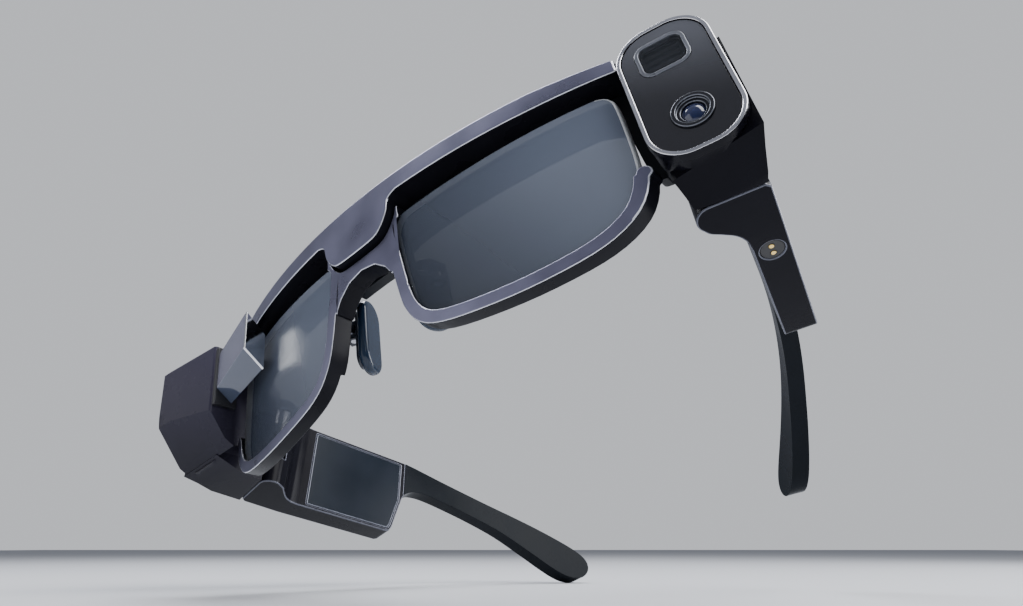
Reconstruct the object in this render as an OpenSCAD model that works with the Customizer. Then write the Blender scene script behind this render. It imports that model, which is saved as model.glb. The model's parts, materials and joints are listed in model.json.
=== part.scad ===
// Smart glasses: brow bar front with a camera module on one side and a
// display pod with a prism on the other, a hung lens carrier, and two
// folding temples that hold the batteries and speakers.
// +X is the wearer's left (camera side), +Y runs back along the temples, +Z is up.

/* [Front] */
// Forward lean of the whole front against the temples, degrees
front_pitch = 10; // [4:0.5:14]
// Radius of the wrap of the front around the face
wrap_r = 185; // [150:1:240]
// Half width of the brow bar, centre to the end blocks
brow_half = 68.4; // [64:0.1:72]
// Top of the brow bar above the lens datum
brow_top = 36.6; // [34:0.1:40]
// Lower edge of the brow bar lip
brow_low = 31.4; // [28:0.1:33]
// Bottom of the centre lobe
lobe_low = 21.2; // [18:0.1:24]
// Slot between the lobe and the lens carrier
lobe_gap = 0.8; // [0.4:0.1:1.4]

/* [Lens carrier] */
// Lens thickness
lens_t = 2; // [1.6:0.1:3]
// Rim width outside the lens edge
rim_w = 2.1; // [1.6:0.1:3]
// Rim overlap on the lens
rim_lip = 0.9; // [0.5:0.1:1.4]
// Front to back depth of the rim
rim_depth = 5; // [4:0.1:6]
// Height at which the outer end of the rim stops
rim_end_z = 4.4; // [2:0.1:8]

/* [Camera module] */
// Width of the camera face
cam_w = 19.4; // [16:0.1:22]
// Height of the camera face
cam_h = 36; // [30:0.5:40]
// Corner radius of the camera face
cam_r = 8; // [3:0.1:8]
// Outward turn of the camera face, degrees
cam_yaw = 13; // [8:0.5:18]
// Wall of the silver bezel
bezel_wall = 0.9; // [0.6:0.1:1.4]
// Depth of the bezel ring
bezel_depth = 2.3; // [1.5:0.1:3]

/* [Display pod] */
// Outer side of the pod from the centre plane
pod_out = 84.5; // [80:0.1:88]
// Inner end of the pod from the centre plane
pod_in = 62.5; // [58:0.1:66]
// Inner end of the prism from the centre plane
prism_in = 44.3; // [40:0.1:50]

/* [Temples] */
// Hinge axis distance from the centre plane
hinge_x = 71; // [69:0.1:74]
// Hinge axis distance behind the front
hinge_y = 24.5; // [20:0.1:30]
// Inward lean of the camera side temple, degrees
splay_left = 13; // [4:0.1:15]
// Inward lean of the display side temple, degrees
splay_right = 9; // [4:0.1:15]
// Inner face of the temple box, from the hinge axis
box_in = 4.4; // [3:0.1:6]
// Outer face of the temple box, from the hinge axis
box_out = 11.8; // [10:0.1:14]
// Rear end of the temple box, from the hinge axis
box_end = 47; // [40:0.5:55]
// Wall thickness of the temple box
wall = 1.2; // [0.9:0.1:1.6]
// Bend radius of the slim arms
arm_r = 137; // [110:1:170]
// Thickness of the slim arms
arm_t = 4.4; // [3.5:0.1:6]

/* [Hinge] */
// Hinge pin radius
pin_r = 0.9; // [0.6:0.05:1.2]
// Running clearance of the pin in the temple knuckle
pin_gap = 0.05; // [0.02:0.01:0.1]
// Knuckle radius
knuckle_r = 2.3; // [1.8:0.1:2.8]

/* [Controls] */
// Length of the shutter button
shutter_l = 9; // [6:0.5:12]
// Length of the power button
power_l = 6; // [4:0.5:9]
// Width of both buttons
button_w = 2.4; // [1.8:0.1:3]

/* [Hidden] */
mid_x = 1.181;
mid_y = 62.799;
low_z = -10.482;
seam = 0.3;
corner_r = 3.3;
wide_x = 10;
wide_z = 9.5;
rim_back = 2.7;
$fn = 48;
$splay = splay_left;

c_metal = [0.52, 0.53, 0.62];
c_black = [0.05, 0.05, 0.06];
c_dark = [0.12, 0.12, 0.14];
c_silver = [0.8, 0.8, 0.82];
c_glass = [0.7, 0.78, 0.85, 0.4];
c_steel = [0.6, 0.6, 0.62];
c_gold = [0.85, 0.68, 0.3];
c_board = [0.05, 0.3, 0.15];
c_pad = [0.15, 0.2, 0.32];
c_cell = [0.6, 0.62, 0.6];

// Smooth curve through a list of points
function knot(p, i) = p[max(0, min(len(p) - 1, i))];
function curve_at(a, b, c, d, t) =
  0.5 * (2 * b + (c - a) * t + (2 * a - 5 * b + 4 * c - d) * t * t
    + (3 * b - a - 3 * c + d) * t * t * t);
function smooth(p, n) = concat(
  [for (i = [0:len(p) - 2]) for (k = [0:n - 1])
    curve_at(knot(p, i - 1), p[i], p[i + 1], knot(p, i + 2), k / n)],
  [p[len(p) - 1]]
);
function turn(p, i) = p[(i + len(p)) % len(p)];
function ring(p, n) = [for (i = [0:len(p) - 1]) for (k = [0:n - 1])
  curve_at(turn(p, i - 1), turn(p, i), turn(p, i + 1), turn(p, i + 2), k / n)];

// ---------- frames ----------

module world() {
  translate([-mid_x, -mid_y, -low_z]) children();
}

module front() {
  world() rotate([front_pitch, 0, 0]) children();
}

module right_side() {
  $splay = splay_right;
  mirror([1, 0, 0]) children();
}

module temple() {
  translate([hinge_x, hinge_y, 0]) rotate([0, 0, $splay]) children();
}

module cam_frame() {
  translate([brow_half + 0.6, 7.9, 0.5]) rotate([0, 0, cam_yaw]) children();
}

// A front-view outline made solid from y0 to y1
module slab(y0, y1) {
  translate([0, y1, 0]) rotate([90, 0, 0]) linear_extrude(y1 - y0) children();
}

// A side-view outline (y, z) made solid from x0 to x1
module rail(x0, x1) {
  translate([x0, 0, 0]) rotate([90, 0, 90]) linear_extrude(x1 - x0) children();
}

// The curved layer of the front between two depths
module wrap_band(y0, y1) {
  translate([0, wrap_r, -30]) linear_extrude(80) difference() {
    circle(r = wrap_r - y0, $fn = 200);
    circle(r = wrap_r - y1, $fn = 200);
  }
}

module rrect(w, h, r) {
  hull() {
    translate([r, r]) circle(r);
    translate([w - r, r]) circle(r);
    translate([w - r, h - r]) circle(r);
    translate([r, h - r]) circle(r);
  }
}

module stadium(l, w) {
  hull() {
    translate([-(l - w) / 2, 0]) circle(w / 2);
    translate([(l - w) / 2, 0]) circle(w / 2);
  }
}

// ---------- front outlines, x and z ----------

module lens_outline() {
  polygon(ring([
    [10.4, 23.4], [10.5, 20], [11.6, 12], [13, 4], [14.3, -0.6], [17, -4.6], [21.6, -7],
    [30, -8.5], [40, -9], [50, -8.1], [56.6, -6.2], [61.4, -2.8], [64.1, 2], [65.1, 8],
    [65.3, 16], [65.2, 24], [64.6, 27.4], [62.4, 29.1], [58, 29.2], [44, 28.4],
    [30, 27.5], [16, 26.6], [12.4, 26]
  ], 3));
}

lobe_curve = smooth([
  [14, brow_low], [11.6, 30], [10.7, 26.4], [8.4, 22.8], [5, lobe_low],
  [-5, lobe_low], [-8.4, 22.8], [-10.7, 26.4], [-11.6, 30], [-14, brow_low]
], 4);

module lobe_outline() {
  polygon(concat([[14, 33]], lobe_curve, [[-14, 33]]));
}

module brow_outline() {
  polygon(concat([
    [-50, brow_low], [-brow_half, brow_low + 0.4], [-brow_half, brow_top - 1], [-50, brow_top],
    [50, brow_top], [brow_half, brow_top - 1], [brow_half, brow_low + 0.4], [50, brow_low]
  ], lobe_curve));
}

module liner_half() {
  polygon([
    [-0.1, brow_top - 1.2], [brow_half, brow_top - 1.6], [brow_half, 5.5],
    [66.2, 5.5], [65.2, 9], [64.4, 19], [62, 22.6], [58, 23.8], [20, 21.6],
    [12.4, 20.8], [9.4, 19.8], [8.2, 18.4], [7.9, 16.4], [-0.1, 16.4]
  ]);
}

module carrier_side() {
  offset(delta = rim_w) lens_outline();
  polygon([[-0.1, 24.6], [11, 24.6], [12.5, 13], [9.4, 10], [7.6, 13], [4.4, 15.8], [-0.1, 16.8]]);
}

module carrier_outline() {
  difference() {
    offset(delta = 0.1) offset(delta = -0.1) {
      carrier_side();
      mirror([1, 0]) carrier_side();
    }
    for (s = [0, 1]) mirror([s, 0]) {
      offset(delta = -rim_lip) lens_outline();
      polygon([[12.2, 34], [13.6, rim_end_z], [80, rim_end_z], [80, 34]]);
    }
    offset(lobe_gap) lobe_outline();
  }
  for (s = [-1, 1]) translate([s * 65.9, rim_end_z]) circle(1.5);
}

// ---------- front pieces ----------

module brow_bar() {
  color(c_metal) front() difference() {
    intersection() {
      slab(-8, 40) brow_outline();
      wrap_band(-3, 4);
    }
    intersection() {
      slab(-8, 40) polygon([[-64, 32.8], [-64, 34.8], [64, 34.8], [64, 32.8]]);
      wrap_band(0.8, 4.2);
    }
    intersection() {
      slab(-8, 40) translate([0, 22.6]) rrect_mid(15, 9, 1.5);
      wrap_band(-0.8, 4.2);
    }
    for (x = [-54, -26, 26, 54]) screw_seat(x) translate([0, 0, -3.2]) cylinder(r = 0.62, h = 4.5);
  }
}

module rrect_mid(w, h, r) {
  translate([-w / 2, 0]) rrect(w, h, r);
}

module rear_frame() {
  color(c_black) front() difference() {
    intersection() {
      slab(-8, 60) offset(0.8) offset(-0.8) {
        liner_half();
        mirror([1, 0]) liner_half();
      }
      wrap_band(4.05, 6.6);
    }
    for (x = [-54, -26, 26, 54]) screw_seat(x) {
      translate([0, 0, -4]) cylinder(r = 0.75, h = 8);
      cylinder(r = 1.35, h = 6);
    }
    for (s = [-1, 1]) magnet_spot(s) cylinder(r = 1.55, h = 1.45);
  }
}

// Screw axis at the back of the liner, pointing rearwards
module screw_seat(x) {
  a = asin(x / wrap_r);
  translate([0, wrap_r, 33.6]) rotate([0, 0, a]) translate([0, -wrap_r + 5.4, 0])
    rotate([-90, 0, 0]) children();
}

// Magnet axis on the front of the liner, behind the bridge
module magnet_spot(s) {
  translate([s * 6.2, 3.97, 18.5]) rotate([-90, 0, 0]) children();
}

module front_flex() {
  color(c_gold) front() intersection() {
    slab(-8, 40) polygon([[-62, 33.1], [-62, 34.5], [62, 34.5], [62, 33.1]]);
    wrap_band(1.6, 1.9);
  }
}

module frame_screws() {
  color(c_steel) front() for (x = [-54, -26, 26, 54]) screw_seat(x) {
    translate([0, 0, -3.1]) cylinder(r = 0.6, h = 3.2);
    difference() {
      translate([0, 0, 0.02]) cylinder(r = 1.25, h = 0.8);
      translate([0, 0, 0.5]) cylinder(r = 0.5, h = 1, $fn = 6);
    }
  }
}

module frame_magnets() {
  color(c_silver) front() for (s = [-1, 1]) magnet_spot(s) translate([0, 0, 0.1]) cylinder(r = 1.5, h = 1.3);
}

module lens_carrier() {
  color(c_metal) front() difference() {
    intersection() {
      slab(-8, 60) carrier_outline();
      wrap_band(-1.2, rim_depth - 1.2);
    }
    for (s = [0, 1]) mirror([s, 0, 0]) intersection() {
      slab(-8, 60) offset(delta = 0.05) lens_outline();
      wrap_band(-0.05, lens_t + 0.05);
    }
    for (s = [-1, 1]) translate([s * 6.2, 2.2, 18.5]) rotate([-90, 0, 0]) cylinder(r = 1.55, h = 2);
    for (s = [0, 1]) mirror([s, 0, 0]) translate([11.6, 2.8, 11]) rotate([0, 0, -24.9])
      rotate([-90, 0, 0]) translate([0, 0, -0.05]) cylinder(r = 0.62, h = 6);
    for (s = [0, 1]) mirror([s, 0, 0]) intersection() {
      slab(-8, 60) translate([13.2, -30]) square([60, 60]);
      wrap_band(rim_back, 6);
    }
  }
}

module carrier_magnets() {
  color(c_silver) front() for (s = [-1, 1]) translate([s * 6.2, 2.25, 18.5])
    rotate([-90, 0, 0]) cylinder(r = 1.5, h = 1.4);
}

module lens_body() {
  intersection() {
    slab(-8, 60) lens_outline();
    wrap_band(0, lens_t);
  }
}

module lens_left() {
  color(c_glass) front() lens_body();
}

module lens_right() {
  color(c_glass) front() right_side() lens_body();
}

// ---------- nose pads ----------

// Pivot of the left pad on its arm
module pad_pivot() {
  translate([14.2, 8.4, 11]) children();
}

module pad_frame() {
  pad_pivot() rotate([0, 0, -25]) translate([-2.5, 0, -2.4]) children();
}

module pad_arm() {
  translate([11.6, 2.8, 11]) rotate([0, 0, -24.9]) rotate([-90, 0, 0]) cylinder(r = 0.6, h = 6.15);
  pad_pivot() translate([0, 0, -2.4]) cylinder(r = 0.9, h = 4.8);
}

module pad_box() {
  pad_frame() difference() {
    union() {
      translate([0.2, 0, 0]) rotate([90, 0, 90]) linear_extrude(1) rotate(90) stadium(16, 5);
      for (z = [3.7, -0.1]) translate([1.1, -1.6, z]) cube([3, 3.2, 1.2]);
    }
    translate([2.5, 0, -1]) cylinder(r = 0.96, h = 7);
  }
}

module nose_pad() {
  pad_frame() translate([-2.5, 0, 0]) rotate([90, 0, 90]) linear_extrude(2.65) rotate(90) stadium(20, 9);
}

module pad_arm_left() {
  color(c_steel) front() pad_arm();
}

module pad_arm_right() {
  color(c_steel) front() right_side() pad_arm();
}

module pad_box_left() {
  color(c_dark) front() pad_box();
}

module pad_box_right() {
  color(c_dark) front() right_side() pad_box();
}

module nose_pad_left() {
  color(c_pad) front() nose_pad();
}

module nose_pad_right() {
  color(c_pad) front() right_side() nose_pad();
}

// ---------- camera module ----------

// Outline of the camera face with an inset all round
module cam_face(inset) {
  translate([inset, inset]) rrect(cam_w - 2 * inset, cam_h - 2 * inset, cam_r - inset);
}

module tele_spot() {
  translate([9.3, 27.2]) children();
}

module wide_spot() {
  translate([wide_x, wide_z]) children();
}

module tele_outline(inset) {
  translate([-5.3 + inset, -4.8 + inset]) rrect(10.6 - 2 * inset, 9.6 - 2 * inset, 2.8 - inset);
}

// Side view limit of the two end blocks, y and z
module block_profile() {
  polygon(concat([[-14, -4]], [[-14, 40]],
    smooth([[6, 40], [10, 38.4], [14, 34.4], [18, 31.2], [22, 29.2], [30, 27.8]], 6),
    [[30, -4]]));
}

// Everything ahead of the parting line at the hinge
module ahead_of_seam() {
  temple() translate([-30, -70, -20]) cube([70, 70 - corner_r - seam, 80]);
}

// Pocket for the hinge bracket base in the rear of an end block
module bracket_pocket() {
  temple() {
    translate([-1.3, -5.1, 8.3]) cube([9, 2, 17.4]);
    for (z = [12, 22]) translate([5.6, -8, z]) rotate([-90, 0, 0]) cylinder(r = 0.55, h = 4);
  }
}

// Root of the temple behind a pod or a camera, on the camera side
module neck(y, z) {
  intersection() {
    rail(69.4, 95) polygon([[y, z], [y + 4, z - 1], [y + 8, 0.7], [34, 0.7], [34, 40], [y, 40]]);
    translate([0, 0, -5]) linear_extrude(50) polygon([[69.4, y], [95, y], [95, 34], [69.4, 34]]);
  }
}

module camera_housing() {
  color(c_black) world() difference() {
    intersection() {
      union() {
        rotate([front_pitch, 0, 0]) cam_frame() slab(bezel_depth, 34) cam_face(0.25);
        neck(13.4, 3.4);
      }
      rail(brow_half, 95) block_profile();
      ahead_of_seam();
      translate([0, 0, -5]) linear_extrude(50) polygon([
        [brow_half, -10], [90, -10], [88.6, 12], [83.25, 22.8], [82.5, 30], [brow_half, 30]
      ]);
    }
    rotate([front_pitch, 0, 0]) cam_frame() {
      slab(bezel_depth - 0.1, 5.2) cam_face(1.6);
      slab(5.1, 9.5) translate([1.9, 2.4]) rrect(13.2, 26.5, 2);
    }
    bracket_pocket();
  }
}

module camera_bezel() {
  color(c_silver) front() cam_frame() difference() {
    slab(0, bezel_depth) cam_face(0);
    slab(-1, bezel_depth - 0.6) cam_face(bezel_wall);
    slab(-1, bezel_depth + 1) cam_face(1.6);
  }
}

module camera_cover() {
  color(c_black) front() cam_frame() difference() {
    slab(0.3, bezel_depth - 0.65) cam_face(bezel_wall + 0.1);
    slab(0, 3) tele_spot() tele_outline(-0.05);
    slab(0, 3) wide_spot() circle(4.15);
  }
}

module tele_ring() {
  color(c_silver) front() cam_frame() difference() {
    slab(0.1, 2.4) tele_spot() tele_outline(0);
    slab(0, 3) tele_spot() tele_outline(0.85);
  }
}

module tele_window() {
  color(c_glass) front() cam_frame() slab(0.45, 1.25) tele_spot() tele_outline(0.9);
}

module tele_barrel() {
  color(c_dark) front() cam_frame() difference() {
    slab(1.35, 5) tele_spot() tele_outline(0.95);
    for (z = [-2.7, -0.9, 0.9, 2.7]) slab(1, 3.2) tele_spot() translate([-3.6, z - 0.4]) square([7.2, 0.8]);
  }
}

module wide_ring() {
  color(c_dark) front() cam_frame() difference() {
    slab(-0.2, 2.2) wide_spot() circle(4.1);
    slab(-1, 3) wide_spot() circle(2.35);
    slab(-1, 0.5) wide_spot() circle(3.2);
  }
}

module wide_lens() {
  color(c_glass) front() cam_frame() intersection() {
    slab(-2, 1.6) wide_spot() circle(2.25);
    translate([wide_x, 3.5, wide_z]) sphere(r = 3.4);
  }
}

module wide_barrel() {
  color(c_black) front() cam_frame() difference() {
    slab(1.7, 6.2) wide_spot() circle(2.2);
    slab(1.6, 2.6) wide_spot() circle(1.5);
  }
}

module camera_board() {
  color(c_board) front() cam_frame() difference() {
    slab(6.4, 7.4) translate([2.4, 3]) rrect(12, 25, 1);
    for (p = [[4, 4.6], [12.8, 4.6], [4, 26.4], [12.8, 26.4]]) slab(6, 8) translate(p) circle(0.6);
  }
}

// ---------- display pod ----------

module pod_side(inset) {
  offset(-inset) offset(0.9) offset(-0.9) polygon([
    [-3.7, 30], [-3.7, 20.6], [-2.7, 13.4], [4.6, 3], [7.2, 1.4], [9, 1.2], [9, 30]
  ]);
}

module pod_plan(inset) {
  offset(-inset) offset(0.8) offset(-0.8) polygon([
    [-pod_out, -3.4], [-pod_in, -0.3], [-pod_in, 9], [-pod_out, 9]
  ]);
}

module pod_solid(inset) {
  intersection() {
    rail(-90, -55) pod_side(inset);
    linear_extrude(60) pod_plan(inset);
  }
}

module display_housing() {
  color(c_black) world() difference() {
    union() {
      intersection() {
        union() {
          rotate([front_pitch, 0, 0]) slab(7.2, 40) translate([-pod_out, 0.6])
            rrect(pod_out - brow_half, 36, 5);
          mirror([1, 0, 0]) neck(6.2, 2.6);
        }
        rail(-90, -brow_half) block_profile();
        right_side() ahead_of_seam();
        translate([0, 0, -5]) linear_extrude(50) polygon([
          [-brow_half, -10], [-90, -10], [-pod_out, 10], [-83.25, 22.8], [-82.5, 30], [-brow_half, 30]
        ]);
      }
      rotate([front_pitch, 0, 0]) intersection() {
        pod_solid(0);
        translate([-90, -10, 0]) cube([40, 17.3, 40]);
      }
    }
    rotate([front_pitch, 0, 0]) {
      intersection() {
        pod_solid(1.4);
        translate([-83, -10, 0]) cube([30, 15.9, 40]);
      }
      translate([-67, 1.1, 15.4]) cube([10, 4.6, 11]);
      translate([-82.6, 5, 6]) cube([12.4, 9.5, 21]);
    }
    right_side() bracket_pocket();
  }
}

module display_collar() {
  color(c_dark) front() difference() {
    intersection() {
      rail(-pod_in, -pod_in + 1.2) pod_side(0.5);
      translate([-pod_in - 1, 0.1, 11.5]) cube([4, 6.4, 17.6]);
    }
    translate([-pod_in - 1, 1.4, 15.6]) cube([4, 3.4, 7]);
  }
}

module prism_side(inset) {
  offset(-inset) polygon([[-3.2, 30.2], [5.2, 22.6], [5.2, 12.4], [-3.2, 18.8]]);
}

module prism_solid(x0, x1, inset) {
  intersection() {
    rail(x0, x1) prism_side(inset);
    linear_extrude(60) polygon([[-61.4, 0.4], [-44.3, -2.8], [-43, -2.8], [-43, 3], [-44.3, 3], [-61.4, 5]]);
  }
}

module display_prism() {
  color(c_glass) front() prism_solid(-pod_in + 1.2, -prism_in, 0);
}

module prism_cap() {
  color(c_silver) front() prism_solid(-prism_in, -prism_in + 0.8, 0);
}

module relay_lens() {
  color(c_glass) front() translate([-70.4, 2.9, 19.4]) rotate([0, 90, 0]) cylinder(r = 2.2, h = 2.4);
}

module display_panel() {
  color(c_steel) front() translate([-76.2, 0.6, 15.4]) cube([1.2, 4.6, 8]);
}

module display_board() {
  color(c_board) front() translate([-82, 7, 8]) cube([11.2, 1, 17]);
}

// ---------- hinges ----------

module bracket() {
  temple() difference() {
    union() {
      translate([-1.2, -5, 8.4]) cube([8.8, 1.4, 17.2]);
      for (z = [9, 20.4]) {
        translate([0, 0, z]) cylinder(r = knuckle_r, h = 4.6);
        translate([-1.2, -4, z]) cube([2.4, 4, 4.6]);
      }
    }
    translate([0, 0, 0]) cylinder(r = pin_r, h = 40);
    for (z = [12, 22]) translate([5.6, -8, z]) rotate([-90, 0, 0]) {
      cylinder(r = 0.65, h = 8);
      translate([0, 0, 3.6]) cylinder(r = 1.2, h = 3);
    }
  }
}

module hinge_pin() {
  temple() translate([0, 0, 8.8]) cylinder(r = pin_r, h = 16.4);
}

module leaf() {
  temple() difference() {
    union() {
      translate([0, 0, 13.8]) cylinder(r = knuckle_r, h = 6.4);
      translate([0, -1.1, 13.8]) cube([9.6, 2.2, 6.4]);
      translate([8.9, -1.1, 13.8]) cube([1.4, 7, 6.4]);
    }
    translate([0, 0, 10]) cylinder(r = pin_r + pin_gap, h = 14);
    translate([8, 4, 17]) rotate([0, 90, 0]) cylinder(r = 0.6, h = 4);
  }
}

module hinge_bracket_left() {
  color(c_steel) world() bracket();
}

module hinge_bracket_right() {
  color(c_steel) world() right_side() bracket();
}

module hinge_pin_left() {
  color(c_silver) world() hinge_pin();
}

module hinge_pin_right() {
  color(c_silver) world() right_side() hinge_pin();
}

module left_leaf() {
  color(c_steel) world() leaf();
}

module right_leaf() {
  color(c_steel) world() right_side() leaf();
}

// ---------- temples ----------

// Side view of the temple box, b along the temple and z
module box_profile() {
  polygon(concat(
    [[-3.3, 0.7], [2, 0.5], [8, 0.3], [41, 0.3], [42.4, 0.8], [43.2, 2.2]],
    [[46.2, 12.6], [box_end, 14.2], [box_end, 25.9], [15, 26.5]],
    smooth([[8, 26.8], [4, 27.3], [0, 28.2], [-3.3, 29.1]], 4)
  ));
}

// Plan of the temple box with the rounded hinge corner
module box_plan() {
  difference() {
    union() {
      polygon(concat(
        [[0, -3.3], [box_out - 1, -3.3], [box_out, -2.3], [box_out, box_end], [box_in, box_end]],
        smooth([[box_in, 11], [4, 8.6], [2.6, 6.4], [0.2, 4.6], [-2, 3], [-3.3, 0]], 4)
      ));
      circle(r = corner_r);
    }
  }
}

module box_solid() {
  intersection() {
    translate([0, 0, -2]) linear_extrude(40) box_plan();
    rail(-6, 16) box_profile();
  }
}

module box_cavity() {
  intersection() {
    translate([0, 0, -2]) linear_extrude(40) polygon([
      [3.4, -2.1], [box_out - wall, -2.1], [box_out - wall, 45], [5.6, 45],
      [5.6, 10], [4.4, 7.4], [3.4, 6]
    ]);
    rail(-6, 16) offset(-2.2) box_profile();
  }
}

module cover_side(inset) {
  intersection() {
    offset(-inset) box_profile();
    translate([12.5 + inset, 0]) square([33.5 - 2 * inset, 40]);
  }
}

module shell() {
  temple() difference() {
    box_solid();
    box_cavity();
    rail(box_in - 1, 5.65) cover_side(1);
    translate([-4.5, -4.5, 8.7]) cube([6.2, 6.5, 16.6]);
    translate([0, 0, 8.7]) cylinder(r = knuckle_r + 0.15, h = 16.6);
    translate([1, -1.2, 13.7]) cube([3, 2.4, 6.6]);
    translate([6.1, 43, 18.4]) cube([4, 5, 5.2]);
    translate([7.6, 4, 17]) rotate([0, 90, 0]) cylinder(r = 0.5, h = 3.6);
  }
}

module cover() {
  temple() rail(box_in, 5.55) cover_side(1.12);
}

module arm_profile() {
  polygon(smooth([
    [47, 14.3], [48.4, 15.4], [51, 16.5], [56, 16.7], [64, 15.4], [74, 12.8],
    [84, 9], [93, 3.8], [100, -0.9], [104.4, -3.6], [108, -4.8], [110.8, -4.4],
    [112.6, -2.6], [113, -0.2], [112, 2.3], [109, 5.2], [104, 8.4], [97, 12],
    [89, 15.3], [80, 18.3], [70, 21.2], [60, 23.6], [52, 25.2], [47, 25.9]
  ], 5));
}

module arm() {
  temple() {
    intersection() {
      translate([box_in + arm_t / 2 - arm_r, box_end, -12]) linear_extrude(44) difference() {
        circle(r = arm_r + arm_t / 2, $fn = 200);
        circle(r = arm_r - arm_t / 2, $fn = 200);
      }
      rail(-20, 16) arm_profile();
      translate([-30, box_end, -20]) cube([60, 90, 60]);
    }
    translate([6.2, 43.6, 18.5]) cube([3.8, 4, 5]);
  }
}

module battery() {
  temple() translate([6, 15.4, 5]) cube([4.2, 20.4, 15.4]);
}

module board() {
  temple() difference() {
    translate([6.2, 8, 4.4]) cube([1, 6.6, 18]);
    for (z = [6.4, 20.4]) translate([5, 12.6, z]) rotate([0, 90, 0]) cylinder(r = 0.6, h = 3);
  }
}

module speaker() {
  temple() translate([6, 37, 6]) cube([4.2, 5, 9]);
}

// Slotted plate in the top edge near the ear
module grille() {
  temple() difference() {
    translate([6.4, 36, 25.25]) cube([3.4, 8, 0.6]);
    for (b = [37.2:1.4:43.2]) translate([7, b - 0.3, 25]) cube([2.2, 0.6, 1]);
  }
}

module grille_cut() {
  temple() {
    translate([6.35, 35.95, 25.2]) cube([3.5, 8.1, 2]);
    translate([6.8, 36.6, 22]) cube([2.6, 6.8, 4]);
  }
}

// Key in the top edge, centred at b along the temple
module key_at(b, l) {
  temple() translate([8.1, b, 0]) children();
}

module key_cut(b, l) {
  key_at(b, l) translate([0, 0, 22]) linear_extrude(8) rotate(90) stadium(l + 0.2, button_w + 0.2);
}

module key_body(b, l) {
  key_at(b, l) {
    translate([0, 0, 23.8]) linear_extrude(3.2) rotate(90) stadium(l, button_w);
  }
}

module key_switch(b) {
  key_at(b, 4) translate([-1.5, -1.8, 20.6]) cube([3, 3.6, 2.4]);
}

module left_shell() {
  color(c_black) world() difference() {
    shell();
    grille_cut();
    key_cut(25, shutter_l);
    temple() translate([8.1, 13.6, -1]) cylinder(r = 2.5, h = 4);
  }
}

module right_shell() {
  color(c_black) world() right_side() difference() {
    shell();
    grille_cut();
    key_cut(23, power_l);
    temple() translate([box_out - 0.4, 12, 10]) cube([2, 26, 9]);
  }
}

module left_cover() {
  color(c_dark) world() cover();
}

module right_cover() {
  color(c_dark) world() right_side() cover();
}

module left_arm() {
  color(c_dark) world() arm();
}

module right_arm() {
  color(c_dark) world() right_side() arm();
}

module left_battery() {
  color(c_cell) world() battery();
}

module right_battery() {
  color(c_cell) world() right_side() battery();
}

module left_board() {
  color(c_board) world() board();
}

module right_board() {
  color(c_board) world() right_side() board();
}

module left_speaker() {
  color(c_steel) world() speaker();
}

module right_speaker() {
  color(c_steel) world() right_side() speaker();
}

module left_grille() {
  color(c_steel) world() grille();
}

module right_grille() {
  color(c_steel) world() right_side() grille();
}

module charging_insert() {
  color(c_dark) world() temple() translate([8.1, 13.6, 0]) difference() {
    translate([0, 0, 0.5]) cylinder(r = 2.45, h = 1.9);
    for (b = [-1, 1]) translate([0, b, 0]) cylinder(r = 0.6, h = 4);
  }
}

module charging_pins() {
  color(c_gold) world() temple() for (b = [-1, 1]) translate([8.1, 13.6 + b, 0.35])
    cylinder(r = 0.55, h = 2.2);
}

module touch_strip() {
  color(c_dark) world() right_side() temple() translate([box_out - 0.35, 12.05, 10.05])
    cube([0.35, 25.9, 8.9]);
}

module shutter_switch() {
  color(c_steel) world() key_switch(25);
}

module power_switch() {
  color(c_steel) world() right_side() key_switch(23);
}

module shutter_button() {
  color(c_silver) world() key_body(25, shutter_l);
}

module power_button() {
  color(c_silver) world() right_side() key_body(23, power_l);
}

brow_bar();
rear_frame();
front_flex();
frame_screws();
frame_magnets();
lens_carrier();
carrier_magnets();
lens_left();
lens_right();
pad_arm_left();
pad_arm_right();
pad_box_left();
pad_box_right();
nose_pad_left();
nose_pad_right();
camera_housing();
camera_bezel();
camera_cover();
tele_ring();
tele_window();
tele_barrel();
wide_ring();
wide_lens();
wide_barrel();
camera_board();
display_housing();
display_collar();
display_prism();
prism_cap();
relay_lens();
display_panel();
display_board();
hinge_bracket_left();
hinge_bracket_right();
hinge_pin_left();
hinge_pin_right();
left_shell();
left_cover();
left_arm();
left_leaf();
left_battery();
left_board();
left_speaker();
left_grille();
charging_insert();
charging_pins();
shutter_switch();
shutter_button();
right_shell();
right_cover();
right_arm();
right_leaf();
right_battery();
right_board();
right_speaker();
right_grille();
touch_strip();
power_switch();
power_button();
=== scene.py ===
"""Visual model of a pair of smart glasses.

A wrapped metal brow bar carries a camera module on one end and a display pod with a prism on
the other. A lens carrier hangs under the bar, and two folding temples hold the batteries, the
boards and the speakers. Every piece is dressed here, in metres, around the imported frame.
"""

import json
import logging
import math
from dataclasses import dataclass, field
from enum import Enum
from typing import Optional

import bmesh
import bpy
from mathutils import Matrix, Vector

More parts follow.
